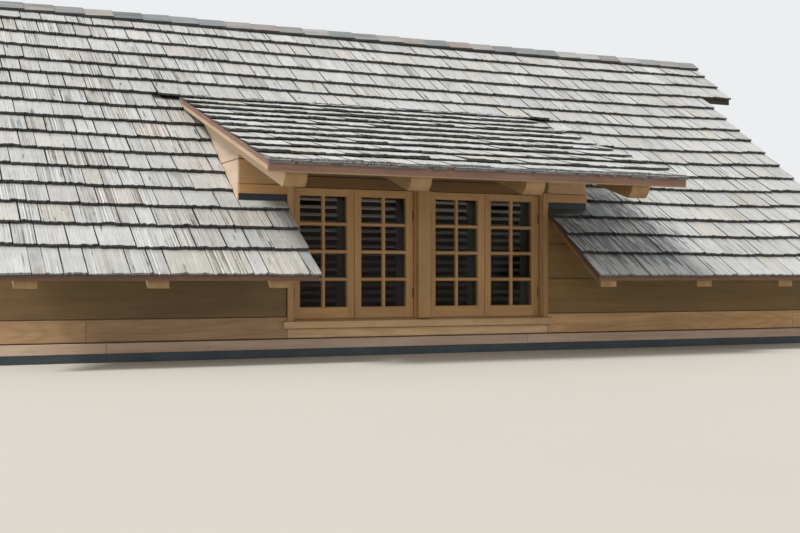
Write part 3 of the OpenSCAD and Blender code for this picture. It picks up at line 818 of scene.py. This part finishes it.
def lay_course(build, roof, x0, x1, number, taboo=(), top_limit=None):
    """One course of shakes from x0 to x1, cut off at top_limit or near the roof's top."""
    top_limit = top_limit or roof.length - 0.01
    random = build.random
    joints = course_joints(x0, x1, taboo, random)
    for left, right in zip(joints, joints[1:]):
        middle = (left + right) / 2
        along = roof.course(number, middle)
        raised = roof.lift(number, middle)
        gap = JOINT_GAP * random.uniform(*GAP_SPREAD)
        butt = random.uniform(-roof.jitter, roof.jitter) if number else \
            FIRST_BACK + random.uniform(0, roof.jitter)
        step = roof.course(number + 1, middle) - along
        end = min(step + LAP, top_limit - along)
        length = end - butt
        if length < SHORTEST:
            continue
        fall = (COVER_HIGH - 0.002) / step
        thick = random.uniform(-roof.uneven, roof.uneven / 2)
        tops = (COVER_HIGH + raised + thick, max(COVER_HIGH - fall * end, THIN_END))
        lows = ((roof.low if number else roof.first_low) + raised, 0.0005)
        split_board(build, roof.place(left + gap / 2, along + butt), right - left - gap, length,
                    tops, lows, shake_tint(random, roof.shade),
                    butt=BUTT_SHADE if number else FIRST_BUTT_SHADE, covered=end - step)
    return joints


def lay_starter(build, roof, x0, x1, butt, back=0.006):
    """The short layer under the first course of an eave."""
    joints = course_joints(x0, x1, (), build.random)
    for left, right in zip(joints, joints[1:]):
        split_board(build, roof.place(left + JOINT_GAP / 2, back), right - left - JOINT_GAP,
                    EXPOSURE / 2, (STARTER_HIGH - 0.001, 0.004), (0.0005, 0.0005),
                    shake_tint(build.random, EAVE_SHADE), ragged=0.003, butt=butt)


def lay_lip(build, roof, x0, x1):
    """Short offcuts hung under the starter, in front of the fascia. Their left and right
    ends are drawn apart, so some overlap, some leave a gap and a few are back to front."""
    lefts, rights = [course_joints(x0, x1, (), build.random) for _ in range(2)]
    for left, right in zip(lefts, rights[1:]):
        grain = [(x, v, h) for v in (0.005, 0.025)
                 for h in (-EAVE_LIP * build.random.uniform(0.8, 1.0), 0.0)
                 for x in (left + 0.001, right - 0.001)]
        build.put([roof.spot(*corner) for corner in grain], grain,
                  shake_tint(build.random, EAVE_SHADE), BOX_FACES, butt=EAVE_BUTT_SHADE)


main = MainRoof("main_deck_left", "main_shakes_left")
dormer = Roof("dormer_deck", "dormer_shakes")
COURSES = 1 + math.ceil((main.length - FIRST_EXPOSURE) / EXPOSURE)


def main_shakes():
    beside, above = Build(11), Build(12)
    wall_along = main.along_at(WALL_FACE, COVER_HIGH)
    for side, x0, x1 in ((-1, ROOF_LEFT, -EAVE_INNER), (1, EAVE_INNER, EDGE_RIGHT)):
        taboo = ()
        lay_starter(beside, main, x0, x1, BUTT_SHADE, 0.020)
        for number in range(HEAD_COURSE):
            start, end = x0, x1
            if main.even(number + 1) > wall_along:
                if main.even(number) < wall_along:
                    short = sorted((side * EAVE_INNER, side * CHEEK_FACE))
                    lay_course(beside, main, *short, number, taboo, wall_along)
                start, end = (x0, -CHEEK_FACE) if side < 0 else (CHEEK_FACE, x1)
            taboo = lay_course(beside, main, start, end, number, taboo)
    taboo = ()
    for number in range(HEAD_COURSE, COURSES):
        end = PROW_RIGHT if number >= COURSES - PROW_COURSES else EDGE_RIGHT
        taboo = lay_course(above, main, ROOF_LEFT, end, number, taboo)
    beside.finish("main_roof_shakes_low", "wood_shakes", shake_wood, "main_shakes_left",
                  "main_shakes_right", "eave_shakes")
    above.finish("main_roof_shakes_high", "wood_shakes", shake_wood, "main_shakes_top")


def dormer_roof_shakes():
    build = Build(13)
    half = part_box("dormer_shakes")[1].x
    taboo = ()
    lay_starter(build, dormer, -half, half, EAVE_BUTT_SHADE)
    lay_lip(build, dormer, -half + 0.006, half - 0.006)
    for number in range(math.ceil(dormer.length / EXPOSURE)):
        ends = [side * (half - build.random.uniform(0, 0.014)) for side in (-1, 1)]
        taboo = lay_course(build, dormer, *ends, number, taboo)
    build.finish("dormer_roof_shakes", "wood_shakes", shake_wood, "dormer_shakes")


def ridge_pieces():
    """Lapped pieces on both slopes of the ridge, open ends to the right."""
    build = Build(14)
    low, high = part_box("ridge_cap")
    ridge_y = (low.y + high.y) / 2
    length = (high.x - low.x) / CAP_PIECES
    ridge_z = main.height(ridge_y, CAP_SEAT)
    out, up = main.out, main.up
    for number in range(CAP_PIECES):
        x_end = low.x + (number + 1) * length - 0.006
        for back in (1, -1):
            def at(u, v, h, back=back, x_end=x_end):
                points = np.stack((x_end - v, -u * up.y + h * out.y,
                                   -u * up.z + h * out.z), axis=1)
                points[:, 1] = ridge_y + back * np.minimum(points[:, 1], -0.0005)
                points[:, 2] += ridge_z
                return points
            lap = 0.03 if number else -0.008
            weather = CAP_TINTS[build.random.integers(0, len(CAP_TINTS))]
            tint = np.multiply(shake_tint(build.random), weather)
            split_board(build, at, CAP_LEG - 0.002, length + lap, (0.029, 0.021), (0.005, 0.0005),
                        tint, ragged=0.001)
    build.finish("ridge_cap_pieces", "wood_shakes", shake_wood, "ridge_cap")


main_shakes()
dormer_roof_shakes()
ridge_pieces()


# Boards on the walls
def wall_boards():
    trim_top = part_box("base_trim")[1].z
    casing_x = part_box("side_casings")[1].x
    low, first = trim_top + FOOT_GAP, LOW_JOINTS[0]
    sill_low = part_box("wall_below_window")[1].z
    left, right = ROOF_LEFT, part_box("front_wall_right")[1].x
    soffit, high = main.height(WALL_FACE, SIDING_TOP), dormer.height(WALL_FACE, SIDING_TOP)
    front = Wall((0, 0, 0), (1, 0, 0))
    rough, smooth, dark, wing = Build(21), Build(22), Build(23), Build(24)
    clad(rough, front, rectangle(left, -casing_x, low, first), (), {0: (BOARD_END_X,)})
    # Painted light: the low boards right of the window and under the sill are tinted paler
    clad(rough, front, rectangle(casing_x, right, low, first), (), {0: (BOARD_END_RIGHT_X,)},
         LOW_RIGHT_PAINTED_LIGHT)
    clad(rough, front, rectangle(-casing_x, casing_x, low, sill_low), (), tint=UNDER_SILL_PAINTED_LIGHT)
    wing_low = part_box("wing_trim")[1].z
    # Painted light: the boards under the right eave are tinted paler
    for side, end, tint in ((-1, left, None), (1, right, EAVE_RIGHT_PAINTED_LIGHT)):
        beside = side * (casing_x + CASING_GAP)
        clad(dark, front, rectangle(*sorted((beside, end)), first, soffit), LOW_JOINTS, tint=tint)
        clad(wing, front, rectangle(*sorted((beside, side * DORMER_HALF)), wing_low, high),
             HIGH_JOINTS)
    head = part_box("head_casing")[1].z
    clad(dark, front, rectangle(-casing_x, casing_x, head, high), HIGH_JOINTS)
    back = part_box("back_wall")[1]
    steps = [first + BOARD_STEP * number for number in range(10)]
    ends = {number: (-right + 1.1 + number * 1.37 % 2.4, -right + 3.9 + number * 0.83 % 2.1)
            for number in range(11)}
    clad(smooth, Wall((0, back.y, 0), (-1, 0, 0)),
         rectangle(-right, -left, trim_top, back.z - 0.02), steps, ends)
    gable = [(0.0, trim_top), (back.y, trim_top), (back.y, main.height(back.y, DECK_UNDER)),
             (0.0, main.height(0.0, DECK_UNDER))]
    clad(smooth, Wall((right, 0, 0), (0, 1, 0)), gable, steps)
    rough.finish("siding_low", "painted_wood", low_siding)
    dark.finish("siding_under_eaves", "painted_wood", siding_painted_shade)
    smooth.finish("siding", "painted_wood", siding)
    wing.finish("siding_beside_window", "painted_wood", wing_siding_painted_light)


def cheek_boards():
    """Boards on the dormer's side walls, between the two roofs."""
    cut, top = main.height(0.0, COVER_LOW), dormer.height(0.0, DECK_UNDER)
    slope, flat = main.up.z / main.up.y, dormer.up.z / dormer.up.y
    meet = (top - cut) / (slope - flat)
    right = [(0.0, cut), (meet, cut + slope * meet), (0.0, top)]
    left = [(-s, z) for s, z in right][::-1]
    for side, outline, name, material in ((-1, left, "cheek_siding_left", sunlit),
                                          (1, right, "cheek_siding_right", siding)):
        build = Build(30 + side)
        clad(build, Wall((side * DORMER_HALF, 0, 0), (0, side, 0)), outline, HIGH_JOINTS[1:2])
        build.finish(name, "painted_wood", material)


def base_trim_boards():
    build = Build(41)
    low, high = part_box("base_trim")
    right, back_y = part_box("front_wall_right")[1].x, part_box("back_wall")[1].y
    runs = ((Wall((0, 0, 0), (1, 0, 0)), (low.x, TRIM_END_X, 0.9, high.x)),
            (Wall((right, 0, 0), (0, 1, 0)), (0.002, back_y - 0.002)),
            (Wall((0, back_y, 0), (-1, 0, 0)), (-high.x, -0.4, -low.x)))
    for wall, stops in runs:
        for s0, s1 in zip(stops, stops[1:]):
            plank(build, wall, rectangle(s0 + 0.001, s1 - 0.001, low.z, high.z), -low.y, 0.003)
    build.finish("base_trim_boards", "painted_wood", foot_trim, "base_trim")


wall_boards()
cheek_boards()
base_trim_boards()


# Window
GLASS_LOW, GLASS_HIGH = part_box("glass")
GLASS_EDGES = sorted({round(v.co.x, 4) for v in NODES["glass"].data.vertices})
LIGHTS = [(a + GLASS_IN, b - GLASS_IN) for a, b in zip(GLASS_EDGES[::2], GLASS_EDGES[1::2])]
FOOT, HEAD = GLASS_LOW.z + GLASS_IN, GLASS_HIGH.z - GLASS_IN
PANE_HEIGHTS = [FOOT + (HEAD - FOOT) * number / PANES_HIGH for number in range(PANES_HIGH + 1)]


def frame_section(inner, edge, front, back):
    """Section of a stile or rail, moulded on the side of the glass."""
    way = 1 if inner > edge else -1
    return [(edge + way * FRAME_EASE, front), (inner - way * MOULDING, front),
            (inner, front + MOULDING), (inner, back), (edge, back), (edge, front + FRAME_EASE)]


def bar_section(middle, front, back):
    """Section of a glazing bar, wide at the glass and narrow on its faces."""
    half, face = BAR_W / 2, BAR_FACE / 2
    near, far = GLASS_LOW.y - BAR_OVER, GLASS_HIGH.y + BAR_OVER
    return [(middle - half, near), (middle - face, front), (middle + face, front),
            (middle + half, near), (middle + half, far), (middle + face, back),
            (middle - face, back), (middle - half, far)]


def sash_frames():
    build = Build(51)
    front, back = [corner.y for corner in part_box("sashes")]
    bottom, top = FOOT - BOTTOM_RAIL_H, HEAD + TOP_RAIL_H
    for left, right in LIGHTS:
        for inner, edge in ((left, left - STILE_W), (right, right + STILE_W)):
            prism(build, upright, frame_section(inner, edge, front, back), bottom, top)
        for inner, edge in ((FOOT, bottom), (HEAD, top)):
            prism(build, level_turned, frame_section(inner, edge, front, back - 0.0005),
                  left - MOULDING, right + MOULDING)
        prism(build, upright, bar_section((left + right) / 2, front + 0.003, back - 0.004),
              FOOT - BAR_OVER, HEAD + BAR_OVER)
        for height in PANE_HEIGHTS[1:-1]:
            prism(build, level_turned, bar_section(height, front + 0.0034, back - 0.0044),
                  left - BAR_OVER, right + BAR_OVER)
    build.finish("sash_frames", "painted_wood", sash_wood, "sashes")


def panes():
    """Small panes between the bars, each a little out of true."""
    build = Build(52)
    for left, right in LIGHTS:
        middle = (left + right) / 2
        for x0, x1 in ((left, middle), (middle, right)):
            for z0, z1 in zip(PANE_HEIGHTS, PANE_HEIGHTS[1:]):
                tilt, turn = build.random.normal(0, 0.0012, 2)
                points = [(x, y + turn * (x - middle) / 0.1 + tilt * (z - z0) / 0.2, z)
                          for y in (GLASS_LOW.y, GLASS_HIGH.y) for z in (z0, z1)
                          for x in (x0, x1)]
                build.put(points, points, (1, 1, 1), BOX_FACES)
    build.finish("window_panes", "window_glass", glass, "glass")


def louvres():
    """Panels of slats in a box frame on the inner face of the wall. The upper slats are
    painted paler, as if some light fell in on them."""
    build = Build(53)
    wall_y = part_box("wall_below_window")[1].y + 0.001
    y0, y1 = PANEL_Y
    low, high = FOOT - PANEL_OVER, HEAD + PANEL_OVER
    run, rise = math.cos(LOUVRE_TILT), math.sin(LOUVRE_TILT)
    edges = []
    for left, right in LIGHTS:
        left, right = left + LOUVRE_IN, right - LOUVRE_IN
        edges += [left - LOUVRE_STILE, right + LOUVRE_STILE]
        for x0, x1 in ((edges[-2], left), (right, edges[-1])):
            # Painted shade: the frames of the panels are tinted nearly black
            prism(build, upright, rectangle(x0, x1, y0, y1), low, high, LOUVRE_FRAME_PAINTED_SHADE)
        for z0, z1 in ((low, FOOT - 0.004), (HEAD + 0.004, high)):
            prism(build, level, rectangle(y0 + 0.001, y1 - 0.001, z0, z1), left, right, LOUVRE_FRAME_PAINTED_SHADE)
        height = HEAD - LOUVRE_FIRST
        while height > FOOT + LOUVRE_WIDE / 2:
            blade = []
            for a, b in ((-1, 0), (-0.4, -1), (0.4, -1), (1, 0), (0.4, 1), (-0.4, 1)):
                a, b = a * LOUVRE_WIDE / 2, b * LOUVRE_THICK / 2
                blade.append(((y0 + y1) / 2 + a * run - b * rise, height + a * rise + b * run))
            share = (height - FOOT) / (HEAD - FOOT)
            bright = 0.08 + 0.84 * share ** 4 + build.random.uniform(-0.03, 0.03)
            prism(build, level, blade, left, right, (bright,) * 3)
            height -= LOUVRE_PITCH
    # Painted shade on the box as well
    posts = [edges[0] - BOX_T, *edges, edges[-1] + BOX_T]
    for x0, x1 in zip(posts[::2], posts[1::2]):
        prism(build, upright, rectangle(x0, x1, wall_y, y1), low - BOX_T, high + BOX_T, LOUVRE_FRAME_PAINTED_SHADE)
    for z0, z1 in ((low - BOX_T, low), (high, high + BOX_T)):
        for x0, x1 in zip(edges[::2], edges[1::2]):
            prism(build, level, rectangle(wall_y, y1, z0, z1), x0, x1, LOUVRE_FRAME_PAINTED_SHADE)
    build.finish("louvred_panels", "raw_timber", louvre_paint)


sash_frames()
panes()
louvres()


# Flashing beside the window
def flashings():
    low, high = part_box("apron_flashing")
    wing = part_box("wing_trim")[0].z
    upstand, apron = Build(61), Build(62)
    thick = SHEET_T
    at_wall, at_edge = 0.021, 0.027
    edge = main.along_at(BEND_Y, at_wall)
    foot = edge - APRON_WIDE
    bend = main.spot(0.0, edge, at_wall + 0.001)
    places = ((edge + 0.003, at_wall), (edge + 0.003, at_wall + thick),
              (foot + 0.004, at_edge + thick), (foot, at_edge + thick - 0.002),
              (foot, at_edge - 0.003), (foot + 0.004, at_edge - 0.003))
    sheet = [main.spot(0.0, along, above)[1:] for along, above in places]
    for x0, x1 in ((low.x, -EAVE_INNER - SIDE_DRIP), (EAVE_INNER + SIDE_DRIP, high.x)):
        prism(upstand, level, [(bend[1], bend[2]), (bend[1], wing), (bend[1] + thick, wing),
                               (bend[1] + thick, bend[2])], x0, x1)
        prism(apron, level, sheet, x0, x1)
    upstand.finish("flashing_upstand", "dark_flashing", upstand_metal, "apron_flashing")
    apron.finish("flashing_apron", "lead_apron", lead_metal)


# Edge boards and soffits
def loose_parts(node):
    """The corners of each solid in a node, to 0.1 mm."""
    corners = [tuple(round(c, 4) for c in vertex.co) for vertex in node.data.vertices]
    links = {}
    for edge in node.data.edges:
        a, b = [corners[i] for i in edge.vertices]
        links.setdefault(a, set()).add(b)
        links.setdefault(b, set()).add(a)
    parts = []
    while links:
        part, waiting = set(), [next(iter(links))]
        while waiting:
            corner = waiting.pop()
            if corner in links:
                part.add(corner)
                waiting += links.pop(corner)
        parts.append(part)
    return sorted(parts, key=lambda part: min(x for x, _, _ in part))


def hull(spots):
    """Convex outline round points, counter-clockwise."""
    halves = []
    for run in (spots, spots[::-1]):
        chain = []
        for spot in run:
            while len(chain) > 1 and (
                    (chain[-1][0] - chain[-2][0]) * (spot[1] - chain[-2][1])
                    - (chain[-1][1] - chain[-2][1]) * (spot[0] - chain[-2][0])) <= 0:
                chain.pop()
            chain.append(spot)
        halves.append(chain[:-1])
    return halves[0] + halves[1]


def sections(name):
    """Left end, right end and outline of each solid of a node, all drawn out along X."""
    for part in loose_parts(NODES[name]):
        xs = [x for x, _, _ in part]
        yield min(xs), max(xs), hull(sorted({(y, z) for _, y, z in part}))


def cut_by_slope(outline, roof, high, side):
    """The part of a section above a plane of the roof, or below it for side -1."""
    lifted = [(y, z - roof.height(y, high)) for y, z in outline]
    return [(y, z + roof.height(y, high)) for y, z in clip(lifted, 1, 0.0, side)]


def tapered(outline):
    """A rake of a low eave, cut off level at its foot and narrower towards the wall."""
    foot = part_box("main_fascias")[0].z
    y0 = min(y for y, _ in outline)
    rise = (main.height(0.0, -RAKE_WALL) - foot) / (0.0 - y0)
    lifted = [(y, z - foot - rise * (y - y0)) for y, z in outline]
    return [(y, z + foot + rise * (y - y0)) for y, z in clip(lifted, 1, 0.0, 1)]


def rake_strips():
    """Sloping edge boards: a capping strip over a paler board set a little back."""
    upper, lower = Build(65), Build(66)
    for name, roof in (("dormer_rakes", dormer), ("main_rakes", main)):
        for x0, x1, outline in sections(name):
            if name == "main_rakes" and abs(x0) < DORMER_HALF:
                outline = tapered(outline)
            # Painted shade on the rake pieces that start right of the middle, within the dormer's
            # width
            tint = RIGHT_RAKE_PAINTED_SHADE if 0 < x0 < DORMER_HALF else None
            for build, side, back in ((upper, 1, 0.0), (lower, -1, 0.003)):
                prism(build, level, cut_by_slope(outline, roof, -RAKE_CAP, side), x0 + back,
                      x1 - back, tint)
    upper.finish("rake_caps", "fascia_wood", rake_wood, "dormer_rakes", "main_rakes")
    lower.finish("rake_boards", "painted_wood", edge_wood)


def main_fascia_boards():
    """Fascias of the main eaves and, painted dark as deep shade, of the courses that reach out."""
    build = Build(67)
    for x0, x1, outline in sections("main_fascias"):
        low_eave = min(y for y, _ in outline) < -0.5
        prism(build, level, outline, x0, x1, (1, 1, 1) if low_eave else PROW_FASCIA_PAINTED_SHADE)
    build.finish("main_fascia_boards", "fascia_wood", fascia_wood, "main_fascias")


def fascia_strip():
    """The pale strip under the dormer's fascia, painted darker for the shade there."""
    build = Build(63)
    low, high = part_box("dormer_fascia")
    prism(build, level, rectangle(low.y + 0.003, high.y, low.z - 0.009, low.z), low.x + 0.001,
          high.x - 0.001, STRIP_PAINTED_SHADE)
    build.finish("fascia_strip", "painted_wood", edge_wood)


def soffit_boards():
    """Boards seen from below, between the wall and the fascia of each roof, painted dark for
    the shade there.
    """
    build = Build(64)
    edge_in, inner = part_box("dormer_rakes")[1].x - 0.022, EAVE_INNER + SIDE_DRIP + 0.022
    for roof, x0, x1, deck in ((dormer, -edge_in, edge_in, "dormer_deck"),
                               (main, ROOF_LEFT, -inner, "main_deck_left"),
                               (main, inner, EDGE_RIGHT - 0.032, "main_deck_left")):
        along, end = [roof.along_at(y, SOFFIT_UNDER) for y in (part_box(deck)[0].y, 0.0)]
        ceiling = Wall(roof.spot(0.0, 0.0, SOFFIT_UNDER), (1, 0, 0), roof.up, -roof.out)
        while along < end - 0.02:
            upper = min(along + SOFFIT_WIDE, end)
            plank(build, ceiling, rectangle(x0, x1, along + 0.0015, upper - 0.0015), 0.003, 0.002,
                  plain_tint(build.random, 0.1))
            along = upper
    build.finish("soffit_boards", "roof_boards", soffit_painted_shade)


flashings()
rake_strips()
main_fascia_boards()
fascia_strip()
soffit_boards()


# Finish of the nodes that stay
FINISHES = {
    frame_z: ("window_jambs", "mullion", "side_casings"),
    frame_level_painted_shade: ("head_jamb", "head_casing", "head_beam"),
    wing_trim_wood: ("wing_trim",),
    sill_wood: ("window_sill",),
    beam_wood: ("dormer_rafters", "main_rafters"),
    fascia_x: ("dormer_fascia",),
    old_boards: ("dormer_deck", "main_deck_left", "main_deck_right", "main_deck_top",
                 "eave_decks"),
    inner_x: ("floor", "ridge_beam"),
    inner_wall: ("back_wall", "end_wall_left", "end_wall_right", "front_wall_left",
                 "front_wall_right", "wall_below_window", "dormer_wall_left",
                 "dormer_wall_right", "wall_over_window", "cheek_left", "cheek_right"),
    slate_metal: ("base_flashing",),
    hinge_metal: ("hinges",),
}
EASED = {"window_jambs": 0.002, "mullion": 0.002, "side_casings": 0.002, "head_jamb": 0.002,
         "window_sill": 0.004, "head_casing": 0.002, "wing_trim": 0.002,
         "dormer_rafters": 0.004, "main_rafters": 0.003, "dormer_fascia": 0.002,
         "base_flashing": 0.0015}


def finish_nodes():
    for material, names in FINISHES.items():
        for name in names:
            node = NODES[name]
            node.data.materials.clear()
            node.data.materials.append(material)
            if name in EASED:
                weld = node.modifiers.new("weld", "WELD")
                weld.merge_threshold = 0.0001
                bevel = node.modifiers.new("bevel", "BEVEL")
                bevel.width = EASED[name]
                bevel.segments = 2
                bevel.limit_method = "ANGLE"


finish_nodes()


# Floor, sky and lamp
def make_stage():
    size = 60
    mesh = bpy.data.meshes.new("floor_sheet")
    mesh.from_pydata([(x, y, -0.001) for x, y in rectangle(-size, size, -size, size)], [],
                     [(0, 1, 2, 3)])
    sheet = placed("floor_sheet", mesh)
    material, tree, shader = new_material("pale_floor")
    soft = add(tree, "TexNoise", {"Vector": object_place(tree), "Scale": 0.4, "Detail": 2.0})
    feed(tree, shader.inputs["Base Color"],
         mixed(tree, soft.outputs["Fac"], rgb(204, 200, 192), rgb(210, 206, 198)))
    shader.inputs["Roughness"].default_value = 0.9
    mesh.materials.append(material)


def make_world():
    """A sky that is brighter towards one side. The camera, gloss and glass see a plain
    tone in its place."""
    world = bpy.data.worlds.new("sky")
    bpy.context.scene.world = world
    world.use_nodes = True
    tree = world.node_tree
    tree.nodes.clear()
    rays = add(tree, "LightPath").outputs
    seen = calc(tree, "MAXIMUM", rays["Is Camera Ray"], rays["Is Glossy Ray"])
    seen = calc(tree, "MAXIMUM", seen, rays["Is Transmission Ray"])
    pale = add(tree, "Background", {"Color": (*rgb(*BACKDROP), 1), "Strength": 1.0})
    direction = add(tree, "TexCoord").outputs["Generated"]
    ahead = add(tree, "VectorMath", {0: direction, 1: SKY_BRIGHT_SIDE},
                operation="DOT_PRODUCT").outputs["Value"]
    light = mixed(tree, span(tree, ahead, 0.0, 0.95), SKY_DARK, SKY_BRIGHT)
    sky = add(tree, "Background", {"Color": light, "Strength": SKY_STRENGTH})
    both = add(tree, "MixShader", {0: seen, 1: sky.outputs[0], 2: pale.outputs[0]})
    add(tree, "OutputWorld", {"Surface": both.outputs[0]})


def make_sun():
    data = bpy.data.lights.new("sun", "SUN")
    data.energy = SUN_STRENGTH
    data.angle = math.radians(SUN_SPREAD)
    data.color = SUN_COLOUR
    sun = placed("sun", data)
    sun.rotation_euler = Vector(SUN_FROM).to_track_quat("Z", "Y").to_euler()


make_stage()
make_world()
make_sun()
bpy.context.scene.view_settings.view_transform = "Standard"
